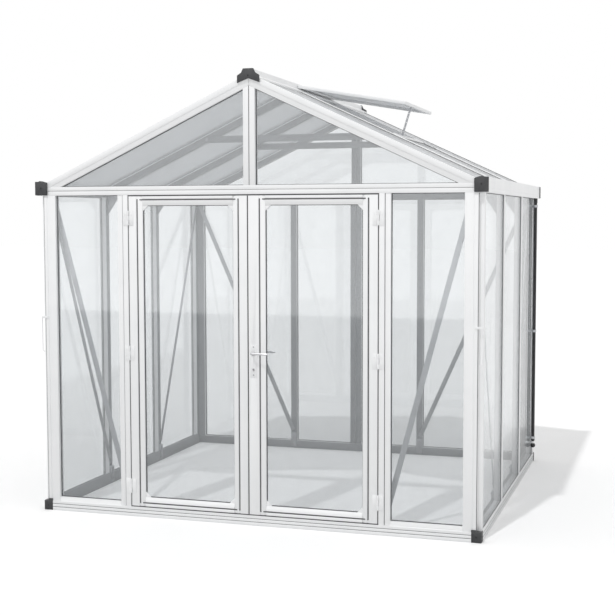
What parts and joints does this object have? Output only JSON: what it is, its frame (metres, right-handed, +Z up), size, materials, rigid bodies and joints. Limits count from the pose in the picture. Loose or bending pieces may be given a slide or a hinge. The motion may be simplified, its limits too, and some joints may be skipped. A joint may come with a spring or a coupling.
{
  "type": "polycarbonate greenhouse",
  "caption": "Walk-in greenhouse with an aluminium frame, clear wall panes, opal roof panels, double doors and a propped roof vent.",
  "frame": {"origin": "on the ground, below the middle of the whole object's box", "axes": "+X to the right of someone facing the doors, +Y into the greenhouse from the doors, +Z up"},
  "size_m": [2.54, 2.28, 2.4379],
  "materials": {
    "frame_metal": "satin, pale",
    "bare_metal": "satin mill finish",
    "dark_plastic": "fine moulded grain",
    "black_pipe": "smooth, slightly glossy",
    "clear_pane": "clear, glossy",
    "opal_panel": "translucent twin-wall sheet"
  },
  "bodies": {
    "house": {"base_rails": "frame_metal", "base_corners": "dark_plastic", "corner_posts": "frame_metal", "door_posts": "frame_metal", "side_posts": "frame_metal", "back_posts": "frame_metal", "headers": "frame_metal", "gutters": "frame_metal", "eave_caps": "dark_plastic", "ridge_beam": "frame_metal", "ridge_caps": "dark_plastic", "gable_rafters": "frame_metal", "roof_bars": "frame_metal", "gable_mullions": "frame_metal", "collar_ties": "frame_metal", "eave_gussets": "bare_metal", "foot_brackets": "bare_metal", "end_braces": "bare_metal", "side_braces": "bare_metal", "front_panes": "clear_pane", "side_panes": "clear_pane", "back_panes": "clear_pane", "gable_panes": "clear_pane", "roof_panes": "opal_panel", "vent_sill": "frame_metal", "vent_frame": "frame_metal", "vent_pane": "opal_panel", "vent_stay": "bare_metal", "downpipe": "black_pipe", "pipe_clips": "bare_metal", "pipe_outlet": "black_pipe", "post_hooks": "frame_metal", "hinge_seats": "bare_metal"},
    "door_left": {"left_stiles": "frame_metal", "left_rails": "frame_metal", "left_pane": "clear_pane", "left_gussets": "dark_plastic", "left_hinges": "bare_metal"},
    "door_right": {"right_stiles": "frame_metal", "right_rails": "frame_metal", "right_pane": "clear_pane", "right_gussets": "dark_plastic", "right_hinges": "bare_metal", "lock_plates": "bare_metal"},
    "door_lever": {"door_lever": "bare_metal"}
  },
  "joints": [
    {"name": "left_door_hinge", "type": "hinge", "parent": "house", "child": "door_left", "pos_m": [-0.7045, -1.096, 0.91], "axis": [0, 0, -1], "range_deg": [0, 170]},
    {"name": "right_door_hinge", "type": "hinge", "parent": "house", "child": "door_right", "pos_m": [0.7045, -1.096, 0.91], "axis": [0, 0, 1], "range_deg": [0, 170]},
    {"name": "lever_turn", "type": "hinge", "parent": "door_right", "child": "door_lever", "pos_m": [0.0195, -1.074, 0.935], "axis": [0, 1, 0], "range_deg": [0, 40], "stiffness_Nm_per_rad": 1.5, "springref_deg": -20.05}
  ]
}
